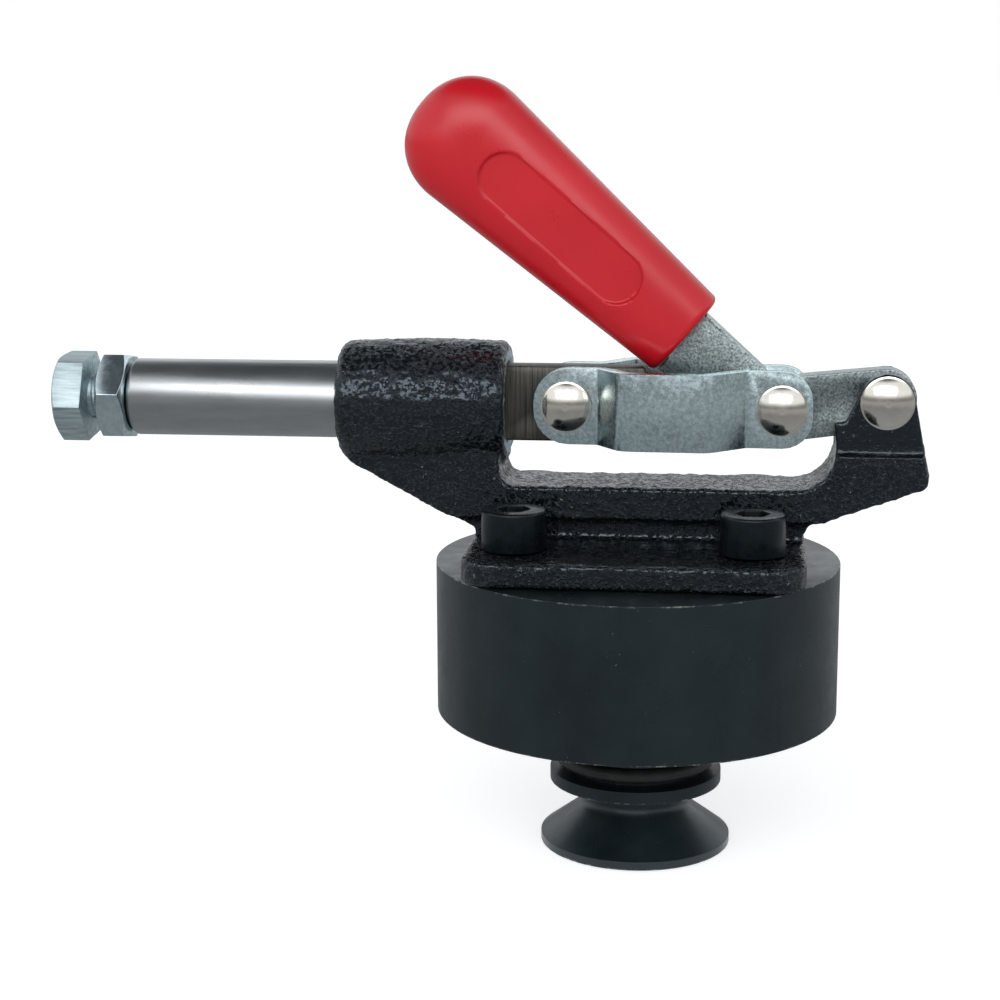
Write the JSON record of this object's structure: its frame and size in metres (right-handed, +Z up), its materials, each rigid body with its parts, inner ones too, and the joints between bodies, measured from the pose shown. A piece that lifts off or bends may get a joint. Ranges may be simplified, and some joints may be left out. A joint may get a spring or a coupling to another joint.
{
  "type": "welding table fixture clamp",
  "caption": "Push-pull toggle clamp with a straight-line plunger and red grip, bolted to a round adapter with a grooved spigot and flared foot for a fixture table.",
  "frame": {"origin": "centre of the flared foot's bottom face", "axes": "+Z up along the adapter's axis; the plunger pushes along -X and its linkage moves in the XZ plane; +Y is across the clamp"},
  "size_m": [0.1798, 0.0834, 0.1592],
  "materials": {
    "black_oxide_steel": "black oxide on turned steel, satin",
    "black_rubber": "matt",
    "black_enamel": "glossy paint over rough casting",
    "screw_steel": "black oxide",
    "ground_steel": "ground and polished",
    "zinc_plate": "bright zinc plate",
    "rivet_nickel": "bright nickel",
    "red_plastic": "glossy moulding"
  },
  "bodies": {
    "base": {"adapter_base": "black_oxide_steel", "o_ring": "black_rubber", "clamp_body": "black_enamel", "base_screw_front_left": "screw_steel", "base_screw_front_right": "screw_steel", "base_screw_rear_left": "screw_steel", "base_screw_rear_right": "screw_steel", "rear_rivet": "rivet_nickel"},
    "handle": {"lever": "zinc_plate", "grip": "red_plastic", "middle_rivet": "rivet_nickel"},
    "links": {"link_front": "zinc_plate", "link_rear": "zinc_plate", "plunger_rivet_head_front": "rivet_nickel", "plunger_rivet_head_rear": "rivet_nickel"},
    "plunger": {"plunger": "ground_steel", "plunger_pivot_pin": "rivet_nickel"},
    "spindle": {"spindle_bolt": "zinc_plate"},
    "jam_nut": {"jam_nut": "zinc_plate"}
  },
  "joints": [
    {"name": "handle_swing", "type": "hinge", "parent": "base", "child": "handle", "pos_m": [0.0497, 0, 0.0952], "axis": [0, 1, 0], "range_deg": [0, 180]},
    {"name": "link_swing", "type": "hinge", "parent": "handle", "child": "links", "pos_m": [0.029, 0, 0.09317], "axis": [0, 1, 0], "range_deg": [-185.5, 0]},
    {"name": "plunger_slide", "type": "slide", "parent": "base", "child": "plunger", "axis": [1, 0, 0], "range_m": [0, 0.0416]},
    {"name": "spindle_reach", "type": "slide", "parent": "plunger", "child": "spindle", "axis": [-1, 0, 0], "range_m": [-0.0026, 0.015]},
    {"name": "jam_nut_turn", "type": "hinge", "parent": "plunger", "child": "jam_nut", "pos_m": [-0.1093, 0, 0.0934], "axis": [1, 0, 0], "continuous": true}
  ],
  "couplings": [
    {"joint": "link_swing", "follows": "handle_swing", "ratio": -1.0299},
    {"joint": "plunger_slide", "follows": "handle_swing", "m_per_rad": 0.013232}
  ]
}
